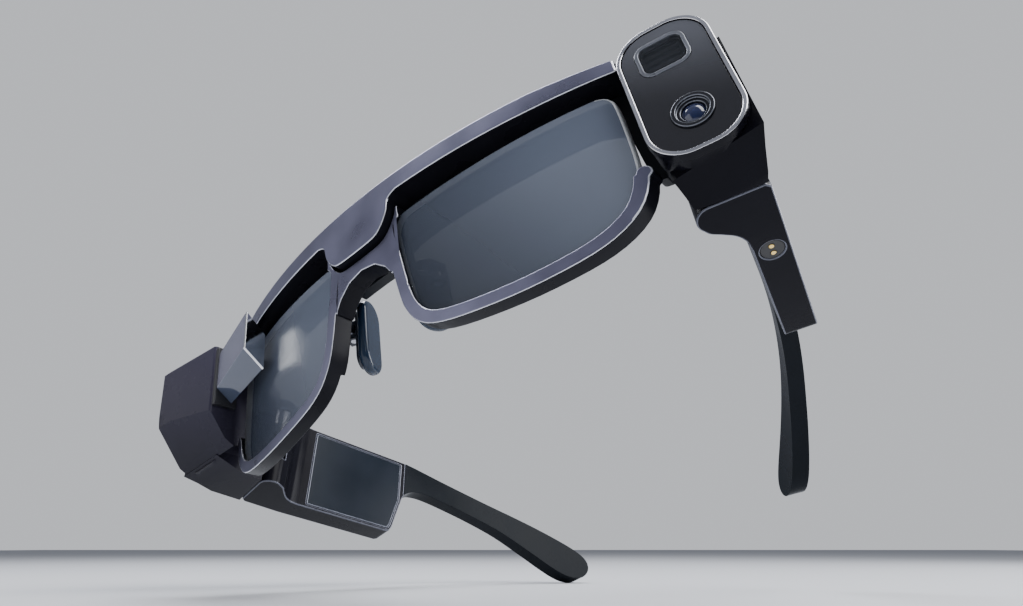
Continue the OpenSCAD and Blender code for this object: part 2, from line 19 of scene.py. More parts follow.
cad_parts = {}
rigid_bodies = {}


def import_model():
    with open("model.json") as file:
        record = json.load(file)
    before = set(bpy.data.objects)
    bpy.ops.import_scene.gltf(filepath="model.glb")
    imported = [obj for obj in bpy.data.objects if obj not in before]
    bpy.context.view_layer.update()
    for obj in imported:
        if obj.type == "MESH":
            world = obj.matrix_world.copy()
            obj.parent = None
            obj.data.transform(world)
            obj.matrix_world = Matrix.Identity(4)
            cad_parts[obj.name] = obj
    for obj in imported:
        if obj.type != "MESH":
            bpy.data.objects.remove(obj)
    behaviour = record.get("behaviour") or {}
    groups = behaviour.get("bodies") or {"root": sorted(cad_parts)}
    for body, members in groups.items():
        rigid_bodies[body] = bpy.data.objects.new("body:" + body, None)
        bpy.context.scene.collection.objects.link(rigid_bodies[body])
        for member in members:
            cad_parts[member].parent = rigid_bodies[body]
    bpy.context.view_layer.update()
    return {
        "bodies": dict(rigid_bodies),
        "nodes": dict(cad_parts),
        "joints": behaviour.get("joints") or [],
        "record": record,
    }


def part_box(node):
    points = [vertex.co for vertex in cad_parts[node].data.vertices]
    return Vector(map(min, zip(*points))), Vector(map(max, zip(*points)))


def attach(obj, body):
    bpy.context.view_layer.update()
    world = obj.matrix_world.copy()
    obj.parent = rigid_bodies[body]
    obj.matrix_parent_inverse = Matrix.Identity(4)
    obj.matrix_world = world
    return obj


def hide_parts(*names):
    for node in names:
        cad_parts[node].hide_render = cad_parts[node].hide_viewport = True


LOG = logging.getLogger("smart_glasses")
MM = 0.001
# A face turned to the front by less than EDGE_LOW is a flank, and by less than EDGE_HIGH an edge.
EDGE_LOW = 0.3
EDGE_HIGH = 0.87
# How a copied node is cleaned: merge distance in metres, flatness in degrees, shading weight.
MERGE_DISTANCE = 0.000002
FLAT_DEGREES = 0.6
FACE_WEIGHT = 60
# The part of the slow noise that changes a surface, and the smoothest that it may make it.
NOISE_LOW = 0.3
NOISE_HIGH = 0.7
LEAST_ROUGHNESS = 0.01
# Cells per metre on a board, and how strongly the noise tints a painted light fade.
BOARD_CELLS = 900.0
PAINTED_FADE_TINT = 0.35
# A screw's facets, and its socket, head and shank places in millimetres.
HEAD_SIDES = 32
SHANK_SIDES = 20
SOCKET_RADIUS = 0.5
SOCKET_DEPTH = 0.64
SOCKET_RISE = 0.4
HEAD_RISE = 0.42
SHANK_DROP = 1.5
# The smallest chip, as a share of the largest.
CHIP_LEAST = (0.45, 0.45, 0.7)
FRONTWARD = Vector((0.0, -1.0, 0.0))
Colour = tuple[float, float, float]
BUILT: dict[str, bpy.types.Material] = {}

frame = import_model()


# ---------------------------------------------------------------- finishes


class Grain(Enum):
    """Surface character of a finish."""

    BLASTED = "blasted"
    MOULDED = "moulded"
    BRUSHED = "brushed"
    POLISHED = "polished"
    RUBBER = "rubber"
    BOARD = "board"
    WRAP = "wrap"
    GLASS = "glass"


@dataclass(frozen=True)
class GrainSize:
    """Scales of one surface character, in features per metre, and its relief in metres."""

    fine: float
    broad: float
    relief: float
    strength: float
    stretch: tuple[float, float, float] = (1.0, 1.0, 1.0)


GRAINS = {
    Grain.BLASTED: GrainSize(5200.0, 90.0, 0.00002, 0.22),
    Grain.MOULDED: GrainSize(3400.0, 70.0, 0.00003, 0.3),
    Grain.BRUSHED: GrainSize(5000.0, 120.0, 0.00002, 0.25, (0.04, 1.0, 1.0)),
    Grain.POLISHED: GrainSize(900.0, 60.0, 0.000005, 0.05),
    Grain.RUBBER: GrainSize(1500.0, 140.0, 0.00003, 0.25),
    Grain.BOARD: GrainSize(2200.0, 300.0, 0.00004, 0.4),
    Grain.WRAP: GrainSize(700.0, 160.0, 0.00006, 0.4),
    Grain.GLASS: GrainSize(600.0, 45.0, 0.000001, 0.01),
}


@dataclass(frozen=True)
class PaintedLightFade:
    """Painted light across a piece: a dark and a light colour, from one point in the row frame to
    another, standing in for a highlight, sheen or reflection.
    """

    low: Vector
    high: Vector
    dark: Colour
    light: Colour
    clear_low: float = 1.0
    clear_high: float = 1.0


@dataclass(frozen=True)
class Finish:
    """One surface finish, built as a procedural material."""

    name: str
    colour: Colour
    roughness: float
    grain: Grain
    metallic: float = 0.0
    coat: float = 0.0
    coat_roughness: float = 0.08
    opacity: float = 1.0
    ior: float = 1.5
    tone: float = 0.12
    patch: float = 0.07
    # Painted light laid over the colour, if any: a painted highlight, sheen or reflection.
    painted_fade: Optional[PaintedLightFade] = None

    def build(self) -> bpy.types.Material:
        """Make the material, or return it if it has been made.

        Returns:
            The Blender material of this finish.
        """
        if self.name in BUILT:
            return BUILT[self.name]
        material = bpy.data.materials.new(f"{self.name}_finish")
        BUILT[self.name] = material
        material.use_nodes = True
        tree = material.node_tree
        shader = tree.nodes["Principled BSDF"]
        self._set_constants(shader)
        size = GRAINS[self.grain]
        place = tree.nodes.new("ShaderNodeTexCoord").outputs["Object"]
        mapping = tree.nodes.new("ShaderNodeMapping")
        mapping.inputs["Scale"].default_value = size.stretch
        tree.links.new(place, mapping.inputs["Vector"])
        fine = self._noise(tree, mapping.outputs["Vector"], size.fine, 4.0)
        broad = self._noise(tree, place, size.broad, 5.0)
        self._link_colour(tree, shader, place, broad)
        self._link_roughness(tree, shader, broad)
        if self.grain is not Grain.GLASS:
            self._link_bump(tree, shader, fine, size)
        return material

    def _set_constants(self, shader: bpy.types.Node) -> None:
        """Set what is the same all over the surface on the shader's own sockets.

        Args:
            shader: The Principled node.
        """
        values = {
            "Metallic": self.metallic,
            "Coat Weight": self.coat,
            "Coat Roughness": self.coat_roughness,
            "Alpha": self.opacity,
            "IOR": self.ior,
            "Roughness": self.roughness,
        }
        for socket, value in values.items():
            shader.inputs[socket].default_value = value
        shader.inputs["Base Color"].default_value = (*self.colour, 1.0)

    @staticmethod
    def _noise(tree: bpy.types.NodeTree, vector: bpy.types.NodeSocket, scale: float,
               detail: float) -> bpy.types.NodeSocket:
        """Add a noise texture.

        Args:
            tree: The material's node tree.
            vector: Where the texture is looked up.
            scale: Features per metre.
            detail: Octaves of the noise.

        Returns:
            The noise's factor socket.
        """
        noise = tree.nodes.new("ShaderNodeTexNoise")
        noise.inputs["Scale"].default_value = scale
        noise.inputs["Detail"].default_value = detail
        tree.links.new(vector, noise.inputs["Vector"])
        return noise.outputs["Fac"]

    def _link_colour(self, tree: bpy.types.NodeTree, shader: bpy.types.Node,
                     place: bpy.types.NodeSocket, broad: bpy.types.NodeSocket) -> None:
        """Vary the colour softly over the surface, and lay the painted highlight, sheen or
        reflection of the painted light fade over it where there is one.

        Args:
            tree: The material's node tree.
            shader: The Principled node.
            place: Object coordinates.
            broad: The slow noise.
        """
        ramp = tree.nodes.new("ShaderNodeValToRGB")
        ramp.color_ramp.elements[0].position = NOISE_LOW
        ramp.color_ramp.elements[1].position = NOISE_HIGH
        low = tuple(c * (1.0 - self.tone) for c in self.colour)
        high = tuple(min(1.0, c * (1.0 + self.tone)) for c in self.colour)
        ramp.color_ramp.elements[0].color = (*low, 1.0)
        ramp.color_ramp.elements[1].color = (*high, 1.0)
        if self.grain is Grain.BOARD:
            cells = tree.nodes.new("ShaderNodeTexVoronoi")
            cells.inputs["Scale"].default_value = BOARD_CELLS
            tree.links.new(place, cells.inputs["Vector"])
            tree.links.new(cells.outputs["Distance"], ramp.inputs["Fac"])
        else:
            tree.links.new(broad, ramp.inputs["Fac"])
        colour = ramp.outputs["Color"]
        # Painted light: blend from the dark to the light colour along the fade, with the opacity
        # changing along it where asked.
        if self.painted_fade is not None:
            amount = self._painted_fade_amount(tree, place)
            blend = tree.nodes.new("ShaderNodeMix")
            blend.data_type = "RGBA"
            blend.inputs["A"].default_value = (*self.painted_fade.dark, 1.0)
            blend.inputs["B"].default_value = (*self.painted_fade.light, 1.0)
            tree.links.new(amount, blend.inputs["Factor"])
            tint = tree.nodes.new("ShaderNodeMix")
            tint.data_type = "RGBA"
            tint.blend_type = "SOFT_LIGHT"
            tint.inputs["Factor"].default_value = PAINTED_FADE_TINT
            tree.links.new(blend.outputs["Result"], tint.inputs["A"])
            tree.links.new(colour, tint.inputs["B"])
            colour = tint.outputs["Result"]
            if self.painted_fade.clear_low != self.painted_fade.clear_high:
                alpha = tree.nodes.new("ShaderNodeMapRange")
                alpha.inputs["To Min"].default_value = self.painted_fade.clear_low
                alpha.inputs["To Max"].default_value = self.painted_fade.clear_high
                tree.links.new(amount, alpha.inputs["Value"])
                tree.links.new(alpha.outputs["Result"], shader.inputs["Alpha"])
        tree.links.new(colour, shader.inputs["Base Color"])

    def _painted_fade_amount(self, tree: bpy.types.NodeTree,
                     place: bpy.types.NodeSocket) -> bpy.types.NodeSocket:
        """Measure how far along the painted light fade a point lies.

        Args:
            tree: The material's node tree.
            place: Object coordinates.

        Returns:
            A socket that runs from 0 at the low point to 1 at the high point.
        """
        run = self.painted_fade.high - self.painted_fade.low
        dot = tree.nodes.new("ShaderNodeVectorMath")
        dot.operation = "DOT_PRODUCT"
        dot.inputs[1].default_value = run.normalized()
        tree.links.new(place, dot.inputs[0])
        span = tree.nodes.new("ShaderNodeMapRange")
        span.interpolation_type = "SMOOTHSTEP"
        start = self.painted_fade.low.dot(run.normalized())
        span.inputs["From Min"].default_value = start
        span.inputs["From Max"].default_value = start + run.length
        tree.links.new(dot.outputs["Value"], span.inputs["Value"])
        return span.outputs["Result"]

    def _link_roughness(self, tree: bpy.types.NodeTree, shader: bpy.types.Node,
                        broad: bpy.types.NodeSocket) -> None:
        """Let handling marks vary the roughness.

        Args:
            tree: The material's node tree.
            shader: The Principled node.
            broad: The slow noise.
        """
        span = tree.nodes.new("ShaderNodeMapRange")
        span.inputs["From Min"].default_value = NOISE_LOW
        span.inputs["From Max"].default_value = NOISE_HIGH
        span.inputs["To Min"].default_value = max(LEAST_ROUGHNESS,
                                                  self.roughness - self.patch)
        span.inputs["To Max"].default_value = min(1.0, self.roughness + self.patch)
        tree.links.new(broad, span.inputs["Value"])
        tree.links.new(span.outputs["Result"], shader.inputs["Roughness"])

    @staticmethod
    def _link_bump(tree: bpy.types.NodeTree, shader: bpy.types.Node,
                   fine: bpy.types.NodeSocket, size: GrainSize) -> None:
        """Raise the fine grain.

        Args:
            tree: The material's node tree.
            shader: The Principled node.
            fine: The fine noise.
            size: Scales of the grain.
        """
        bump = tree.nodes.new("ShaderNodeBump")
        bump.inputs["Distance"].default_value = size.relief
        bump.inputs["Strength"].default_value = size.strength
        tree.links.new(fine, bump.inputs["Height"])
        tree.links.new(bump.outputs["Normal"], shader.inputs["Normal"])


FRAME_METAL = Finish("anodised_lavender", (0.2, 0.2, 0.29), 0.32, Grain.BLASTED, metallic=0.85)
# Painted highlight: near-white on the front eased edges of the bar and the rim, where light catches
# them.
FRAME_PAINTED_HIGHLIGHT = Finish("anodised_painted_highlight", (0.8, 0.81, 0.9), 0.3, Grain.BRUSHED, metallic=0.35)
# Painted shade: near black on the sides and undersides of the bar and the rim, which are the same
# lavender metal.
FRAME_PAINTED_SHADE = Finish("anodised_painted_shade_flank", (0.006, 0.006, 0.009), 0.3, Grain.BLASTED,
                     ior=1.2)
LINER = Finish("liner_black", (0.008, 0.009, 0.012), 0.46, Grain.MOULDED, ior=1.35)
BODY = Finish("body_satin_black", (0.005, 0.005, 0.008), 0.24, Grain.MOULDED, ior=1.17)
ARM = Finish("arm_satin_black", (0.005, 0.007, 0.01), 0.26, Grain.MOULDED, ior=1.17)
# Painted highlight: lighter grey on the eased edges of the black temple shells, where rim light
# catches them.
SHELL_PAINTED_HIGHLIGHT = Finish("shell_edge_painted_highlight", (0.1, 0.105, 0.135), 0.28, Grain.BRUSHED, metallic=0.3)
# Painted highlight: light grey lines along the eased edges of the temple covers, where light
# catches the seams.
SEAM_PAINTED_HIGHLIGHT = Finish("seam_painted_highlight", (0.17, 0.18, 0.22), 0.26, Grain.BRUSHED, metallic=0.4)
COVER = Finish("cover_slate", (0.006, 0.01, 0.017), 0.22, Grain.BLASTED, ior=1.2, patch=0.03)
BEZEL = Finish("bezel_silver", (0.8, 0.8, 0.84), 0.16, Grain.BRUSHED, metallic=1.0)
RING_GREY = Finish("ring_grey", (0.2, 0.21, 0.24), 0.3, Grain.BLASTED, metallic=0.7)
RING_DARK = Finish("ring_dark", (0.035, 0.037, 0.045), 0.26, Grain.BRUSHED, metallic=0.6)
WINDOW = Finish("window_clear", (0.03, 0.035, 0.045), 0.04, Grain.POLISHED, opacity=0.3, coat=0.6,
                coat_roughness=0.02, patch=0.02)
FRONT_ELEMENT = Finish("front_element", (0.012, 0.02, 0.07), 0.04, Grain.POLISHED, coat=1.0,
                       coat_roughness=0.02, patch=0.02)
BARREL = Finish("barrel_black", (0.012, 0.012, 0.014), 0.4, Grain.BLASTED, metallic=0.3)
# Painted highlight: near-white on the lenses' rims and eased edges, where light catches the
# polished glass edge.
LENS_EDGE_PAINTED_HIGHLIGHT = Finish("lens_edge_painted_highlight", (0.88, 0.91, 0.96), 0.3, Grain.BLASTED)
PRISM = Finish("prism_glass", (0.07, 0.085, 0.13), 0.06, Grain.GLASS, coat=1.0,
               coat_roughness=0.03, patch=0.03)
# Painted reflection: a bright lavender-silver on the prism's facets that face the front at a slant.
PRISM_PAINTED_REFLECTION = Finish("prism_painted_reflection", (0.36, 0.36, 0.46), 0.2, Grain.GLASS, metallic=0.7,
                    patch=0.04)
PRISM_CAP = Finish("prism_mirror", (0.85, 0.86, 0.88), 0.12, Grain.POLISHED, metallic=1.0)
COLLAR = Finish("collar_black", (0.02, 0.02, 0.024), 0.42, Grain.MOULDED)
PANEL = Finish("panel_glass", (0.05, 0.06, 0.09), 0.1, Grain.POLISHED, coat=1.0)
BOARD = Finish("board_green", (0.02, 0.16, 0.08), 0.4, Grain.BOARD, tone=0.35)
CHIP = Finish("chip_black", (0.02, 0.02, 0.022), 0.45, Grain.MOULDED)
FLEX = Finish("flex_amber", (0.62, 0.36, 0.08), 0.32, Grain.POLISHED)
SCREW = Finish("screw_steel", (0.56, 0.56, 0.58), 0.24, Grain.BRUSHED, metallic=1.0)
MAGNET = Finish("magnet_plate", (0.66, 0.66, 0.68), 0.2, Grain.POLISHED, metallic=1.0)
PAD_METAL = Finish("pad_metal", (0.55, 0.56, 0.6), 0.25, Grain.BRUSHED, metallic=1.0)
PAD_HOLDER = Finish("pad_holder", (0.03, 0.035, 0.05), 0.32, Grain.MOULDED)
PAD = Finish("pad_silicone", (0.01, 0.022, 0.045), 0.18, Grain.RUBBER, coat=0.2,
             coat_roughness=0.12, ior=1.41)
HINGE = Finish("hinge_steel", (0.5, 0.5, 0.53), 0.28, Grain.BRUSHED, metallic=1.0)
PIN = Finish("pin_steel", (0.72, 0.72, 0.74), 0.16, Grain.POLISHED, metallic=1.0)
CELL = Finish("cell_wrap", (0.45, 0.48, 0.46), 0.35, Grain.WRAP)
SPEAKER = Finish("speaker_can", (0.5, 0.5, 0.52), 0.3, Grain.BRUSHED, metallic=1.0)
GRILLE = Finish("grille_black", (0.03, 0.03, 0.034), 0.36, Grain.BLASTED, metallic=0.5)
INSERT = Finish("insert_black", (0.018, 0.018, 0.02), 0.5, Grain.MOULDED)
CONTACT = Finish("contact_gold", (0.86, 0.62, 0.24), 0.2, Grain.POLISHED, metallic=1.0)
SWITCH = Finish("switch_metal", (0.6, 0.6, 0.62), 0.3, Grain.BRUSHED, metallic=1.0)
BUTTON = Finish("button_metal", (0.46, 0.47, 0.56), 0.26, Grain.BRUSHED, metallic=1.0)
TOUCH = Finish("touch_gloss", (0.012, 0.012, 0.016), 0.12, Grain.POLISHED, coat=1.0)


# ---------------------------------------------------------------- making pieces


class Workshop:
    """Looks up bodies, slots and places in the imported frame, and turns nodes into pieces."""

    def __init__(self, packed: dict) -> None:
        """Read the record's bodies, material slots and joints.
        """
        record = packed["record"]
        self.nodes = packed["nodes"]
        self.body = {n: b for b, ns in record["behaviour"]["bodies"].items() for n in ns}
        self.slot = {row["node"]: row["material_slot"] for row in record["subparts"]}
        self.joints = {joint["name"]: joint for joint in packed["joints"]}

    def pivot(self, joint: str) -> Vector:
        """Return where a joint's axis passes, in metres."""
        return Vector(self.joints[joint]["pos_m"])

    def settle(self, piece: bpy.types.Object, *nodes: str) -> bpy.types.Object:
        """Put a finished piece on the body of the nodes that it stands for.

        Args:
            piece: The finished piece, at the origin.
            nodes: The CAD nodes that it replaces.

        Returns:
            The same piece.
        """
        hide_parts(*nodes)
        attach(piece, self.body[nodes[0]])
        LOG.info("%s stands for %s", piece.name, ", ".join(nodes))
        return piece

    def dress(self, node: str, finish: Finish) -> None:
        """Give a carried-over CAD node its finish.

        Args:
            node: The CAD node's name.
            finish: The finish that it takes.
        """
        slots = self.nodes[node].data.materials
        material = finish.build()
        if len(slots) == 0:
            slots.append(material)
        for index in range(len(slots)):
            slots[index] = material
        LOG.info("%s takes %s", node, finish.name)

    def eased(self, node: str, finish: Finish, width: float, edge: Optional[Finish] = None,
              segments: int = 3, angle: float = 28.0,
              held_back: bool = True) -> bpy.types.Object:
        """Make a copy of a CAD node with eased, rounded edges.

        Args:
            node: The CAD node's name.
            finish: The finish of the faces.
            width: Width of the eased edge, in millimetres.
            edge: The finish of the eased edges, if it differs; a painted highlight on the temple
                shells and covers.
            segments: Steps across the eased edge.
            angle: The least angle between faces that is eased, in degrees.
            held_back: Narrow the eased edges where short edges would make them overlap.

        Returns:
            The new piece, settled on the node's body.
        """
        grid = bmesh.new()
        grid.from_mesh(self.nodes[node].data)
        bmesh.ops.remove_doubles(grid, verts=grid.verts, dist=MERGE_DISTANCE)
        bmesh.ops.dissolve_limit(grid, angle_limit=math.radians(FLAT_DEGREES),
                                 verts=grid.verts, edges=grid.edges, delimit=set())
        mesh = bpy.data.meshes.new(f"{node}_eased")
        grid.to_mesh(mesh)
        grid.free()
        for polygon in mesh.polygons:
            polygon.use_smooth = True
        piece = bpy.data.objects.new(f"{node}_piece", mesh)
        bpy.context.scene.collection.objects.link(piece)
        mesh.materials.append(finish.build())
        bevel = piece.modifiers.new("eased_edges", "BEVEL")
        bevel.width = width * MM
        bevel.segments = segments
        bevel.limit_method = "ANGLE"
        bevel.angle_limit = math.radians(angle)
        bevel.miter_outer = "MITER_ARC"
        bevel.use_clamp_overlap = held_back
        if edge is not None:
            mesh.materials.append(edge.build())
            bevel.material = 1
        weights = piece.modifiers.new("even_shading", "WEIGHTED_NORMAL")
        weights.keep_sharp = True
        weights.weight = FACE_WEIGHT
        return self.settle(piece, node)

    @staticmethod
    def sort_faces(piece: bpy.types.Object, forward: Vector, flank: Finish, edge: Finish,
                   both_ways: bool = False) -> None:
        """Bake the piece's eased edges in, and give its flanks and front edges their own finishes
        by which way they face; this is how painted shade, painted highlight and painted reflection
        are laid on.

        Args:
            piece: A piece made by eased(), with its face finish in the first slot.
            forward: The way that the piece's front faces.
            flank: The finish of the sides: a painted shade on the frame and the bezel, a painted
                highlight on the lenses.
            edge: The finish of the eased edges round the front: a painted highlight on the frame
                and the lenses, a painted reflection on the prism.
            both_ways: Treat the back as the front is treated.
        """
        graph = bpy.context.evaluated_depsgraph_get()
        mesh = bpy.data.meshes.new_from_object(piece.evaluated_get(graph), depsgraph=graph)
        piece.modifiers.clear()
        piece.data = mesh
        for finish in (flank, edge):
            mesh.materials.append(finish.build())
        for polygon in mesh.polygons:
            facing = polygon.normal.dot(forward)
            if both_ways:
                facing = abs(facing)
            if facing < EDGE_LOW:
                polygon.material_index = 1
            elif facing < EDGE_HIGH:
                polygon.material_index = 2


class Layout:
    """A Geometry Nodes tree with named inputs, run once into a plain mesh."""

    def __init__(self, name: str) -> None:
        """Start an empty tree with a geometry output.

        Args:
            name: The tree's name.
        """
        self.group = bpy.data.node_groups.new(name, "GeometryNodeTree")
        self.group.is_modifier = True
        self.keys: dict[str, str] = {}
        self.source = self.group.nodes.new("NodeGroupInput")
        self.sink = self.group.nodes.new("NodeGroupOutput")
        self.group.interface.new_socket(name="Geometry", in_out="INPUT",
                                        socket_type="NodeSocketGeometry")
        self.group.interface.new_socket(name="Geometry", in_out="OUTPUT",
                                        socket_type="NodeSocketGeometry")

    def input(self, name: str, kind: str) -> bpy.types.NodeSocket:
        """Add a named input.

        Args:
            name: What the input is called.
            kind: Its socket type, without the NodeSocket prefix.

        Returns:
            The socket to link from.
        """
        made = self.group.interface.new_socket(name=name, in_out="INPUT",
                                               socket_type=f"NodeSocket{kind}")
        self.keys[name] = made.identifier
        return self.source.outputs[name]

    def geometry(self) -> bpy.types.NodeSocket:
        """Return the geometry that the tree is given."""
        return self.source.outputs["Geometry"]

    def add(self, kind: str, settings: Optional[dict] = None,
            inputs: Optional[dict] = None) -> bpy.types.Node:
        """Add a node and feed its inputs.

        Args:
            kind: The node's full type name.
            settings: Properties of the node.
            inputs: Values or sockets by input name or index.

        Returns:
            The new node.
        """
        node = self.group.nodes.new(kind)
        for key, value in (settings or {}).items():
            setattr(node, key, value)
        for key, value in (inputs or {}).items():
            if isinstance(value, bpy.types.NodeSocket):
                self.group.links.new(value, node.inputs[key])
            else:
                node.inputs[key].default_value = value
        return node

    def close(self, geometry: bpy.types.NodeSocket, material: bpy.types.NodeSocket) -> None:
        """End the tree in real geometry with its material.

        Args:
            geometry: What has been made so far.
            material: The material's socket.
        """
        real = self.add("GeometryNodeRealizeInstances", None, {"Geometry": geometry})
        done = self.add("GeometryNodeSetMaterial", None,
                        {"Geometry": real.outputs[0], "Material": material})
        self.group.links.new(done.outputs[0], self.sink.inputs[0])

    def run(self, name: str, base: bpy.types.Mesh, values: dict,
            place: Matrix = Matrix.Identity(4)) -> bpy.types.Object:
        """Evaluate the tree on a mesh and keep the result as a plain mesh.

        Args:
            name: The new piece's name.
            base: The mesh that the tree starts from.
            values: Input values by name.
            place: Where the result goes in the row frame.

        Returns:
            The new piece, at the origin, with no modifier.
        """
        carrier = bpy.data.objects.new(f"{name}_layout", base)
        bpy.context.scene.collection.objects.link(carrier)
        modifier = carrier.modifiers.new("layout", "NODES")
        modifier.node_group = self.group
        for key, value in values.items():
            modifier[self.keys[key]] = value
        graph = bpy.context.evaluated_depsgraph_get()
        mesh = bpy.data.meshes.new_from_object(carrier.evaluated_get(graph), depsgraph=graph)
        carrier.modifiers.remove(modifier)
        bpy.data.objects.remove(carrier)
        mesh.transform(place)
        mesh.name = name
        piece = bpy.data.objects.new(name, mesh)
        bpy.context.scene.collection.objects.link(piece)
        return piece


def seat_layout() -> Layout:
    """Build the tree that sets a socket screw on every seat.

    Returns:
        The tree, with inputs for the screw's sizes.
    """
    tree = Layout("screw_seats")
    head_r = tree.input("Head radius", "Float")
    head_h = tree.input("Head height", "Float")
    shank_r = tree.input("Shank radius", "Float")
    shank_h = tree.input("Shank length", "Float")
    material = tree.input("Finish", "Material")
    head = tree.add("GeometryNodeMeshCylinder", None,
                    {"Vertices": HEAD_SIDES, "Radius": head_r, "Depth": head_h})
    hexagon = tree.add("GeometryNodeMeshCylinder", None,
                       {"Vertices": 6, "Radius": SOCKET_RADIUS * MM,
                        "Depth": SOCKET_DEPTH * MM})
    sunk = tree.add("GeometryNodeTransform", None,
                    {"Geometry": hexagon.outputs["Mesh"],
                     "Translation": (0, 0, SOCKET_RISE * MM)})
    cut = tree.add("GeometryNodeMeshBoolean", {"operation": "DIFFERENCE"},
                   {"Mesh 1": head.outputs["Mesh"], "Mesh 2": sunk.outputs[0]})
    raised = tree.add("GeometryNodeTransform", None,
                      {"Geometry": cut.outputs["Mesh"],
                       "Translation": (0, 0, HEAD_RISE * MM)})
    shank = tree.add("GeometryNodeMeshCylinder", None,
                     {"Vertices": SHANK_SIDES, "Radius": shank_r, "Depth": shank_h})
    lowered = tree.add("GeometryNodeTransform", None,
                       {"Geometry": shank.outputs["Mesh"],
                        "Translation": (0, 0, -SHANK_DROP * MM)})
    whole = tree.add("GeometryNodeJoinGeometry")
    for part in (raised, lowered):
        tree.group.links.new(part.outputs[0], whole.inputs[0])
    points = tree.add("GeometryNodeMeshToPoints", None, {"Mesh": tree.geometry()})
    turn = tree.add("GeometryNodeInputNamedAttribute", {"data_type": "FLOAT_VECTOR"},
                    {"Name": "turn"})
    spread = tree.add("GeometryNodeInstanceOnPoints", None,
                      {"Points": points.outputs[0], "Instance": whole.outputs[0],
                       "Rotation": turn.outputs[0]})
    tree.close(spread.outputs[0], material)
    return tree


def bar_layout() -> Layout:
    """Build the tree that lays bars in a row.

    Returns:
        The tree, with inputs for the count, the step and the bar's size.
    """
    tree = Layout("bar_row")
    count = tree.input("Count", "Int")
    start = tree.input("Start", "Vector")
    step = tree.input("Step", "Vector")
    size = tree.input("Size", "Vector")
    material = tree.input("Finish", "Material")
    line = tree.add("GeometryNodeMeshLine", {"mode": "OFFSET"},
                    {"Count": count, "Start Location": start, "Offset": step})
    bar = tree.add("GeometryNodeMeshCube", None, {"Size": size})
    spread = tree.add("GeometryNodeInstanceOnPoints", None,
                      {"Points": line.outputs["Mesh"], "Instance": bar.outputs["Mesh"]})
    tree.close(spread.outputs[0], material)
    return tree


def chip_layout() -> Layout:
    """Build the tree that scatters chips over a board.

    Returns:
        The tree, with inputs for the board, the chips and the fixed seed.
    """
    tree = Layout("board_chips")
    width = tree.input("Width", "Float")
    length = tree.input("Length", "Float")
    columns = tree.input("Columns", "Int")
    rows = tree.input("Rows", "Int")
    chip = tree.input("Chip", "Vector")
    seed = tree.input("Seed", "Int")
    material = tree.input("Finish", "Material")
    grid = tree.add("GeometryNodeMeshGrid", None,
                    {"Size X": width, "Size Y": length, "Vertices X": columns,
                     "Vertices Y": rows})
    body = tree.add("GeometryNodeMeshCube", None, {"Size": chip})
    vary = tree.add("FunctionNodeRandomValue", {"data_type": "FLOAT_VECTOR"},
                    {"Min": CHIP_LEAST, "Max": (1.0, 1.0, 1.0), "Seed": seed})
    spread = tree.add("GeometryNodeInstanceOnPoints", None,
                      {"Points": grid.outputs["Mesh"], "Instance": body.outputs["Mesh"],
                       "Scale": vary.outputs[0]})
    tree.close(spread.outputs[0], material)
    return tree


def point_mesh(places: list[Matrix]) -> bpy.types.Mesh:
    """Make a mesh of bare points that carry their own turn.

    Args:
        places: Where each point is and how it is turned.

    Returns:
        The mesh, with a vector attribute called turn.
    """
    mesh = bpy.data.meshes.new("seats")
    mesh.from_pydata([place.translation for place in places], [], [])
    turns = mesh.attributes.new("turn", "FLOAT_VECTOR", "POINT")
    for index, place in enumerate(places):
        turns.data[index].vector = place.to_euler()
    return mesh


@dataclass
class Datums:
    """Places that the sub-assemblies share, worked out from the joints."""

    shop: Workshop
    pitch: float = 10.0
    hinge_place: tuple[float, float, float] = (71.0, 24.5, 17.0)

    def origin(self) -> Vector:
        """Return the design's own origin in the row frame."""
        return self.shop.pivot("left_fold") - Vector(self.hinge_place) * MM

    def forward(self) -> Vector:
        """Return the way that the front faces."""
        return self.front().to_3x3() @ FRONTWARD

    def front(self) -> Matrix:
        """Return the leaned frame of the front."""
        return Matrix.Translation(self.origin()) @ Matrix.Rotation(
            math.radians(self.pitch), 4, "X")


# ---------------------------------------------------------------- sub-assemblies


@dataclass
class BrowBar:
    """The wrapped metal bar, its liner, the flex inside and the screws that hold the liner."""

    shop: Workshop
    datums: Datums
    wrap_r: float = 185.0
    screw_z: float = 33.6
    screw_y: float = 5.4
    screw_x: tuple[float, ...] = (-54.0, -26.0, 26.0, 54.0)
    head_r: float = 1.25
    head_h: float = 0.8
    shank_r: float = 0.6
    shank_h: float = 3.2

    def build(self) -> None:
        """Make and dress the bar, the liner, the flex, the magnets and the screws."""
        bar = self.shop.eased("brow_bar", FRAME_METAL, 0.4, held_back=False)
        # Painted shade on the bar's sides and underside, painted highlight on its front edges.
        self.shop.sort_faces(bar, self.datums.forward(), FRAME_PAINTED_SHADE, FRAME_PAINTED_HIGHLIGHT)
        self.shop.eased("rear_frame", LINER, 0.35)
        self.shop.dress("front_flex", FLEX)
        self.shop.eased("frame_magnets", MAGNET, 0.12, segments=2)
        self._screws()

    def _screws(self) -> None:
        """Set the four liner screws on their seats."""
        seats = []
        for x in self.screw_x:
            bend = math.asin(x / self.wrap_r)
            seats.append(
                self.datums.front()
                @ Matrix.Translation(Vector((0.0, self.wrap_r, self.screw_z)) * MM)
                @ Matrix.Rotation(bend, 4, "Z")
                @ Matrix.Translation(Vector((0.0, self.screw_y - self.wrap_r, 0.0)) * MM)
                @ Matrix.Rotation(-math.pi / 2, 4, "X")
            )
        sizes = {
            "Head radius": self.head_r * MM,
            "Head height": self.head_h * MM,
            "Shank radius": self.shank_r * MM,
            "Shank length": self.shank_h * MM,
            "Finish": SCREW.build(),
        }
        piece = seat_layout().run("liner_screws", point_mesh(seats), sizes)
        self.shop.settle(piece, "frame_screws")


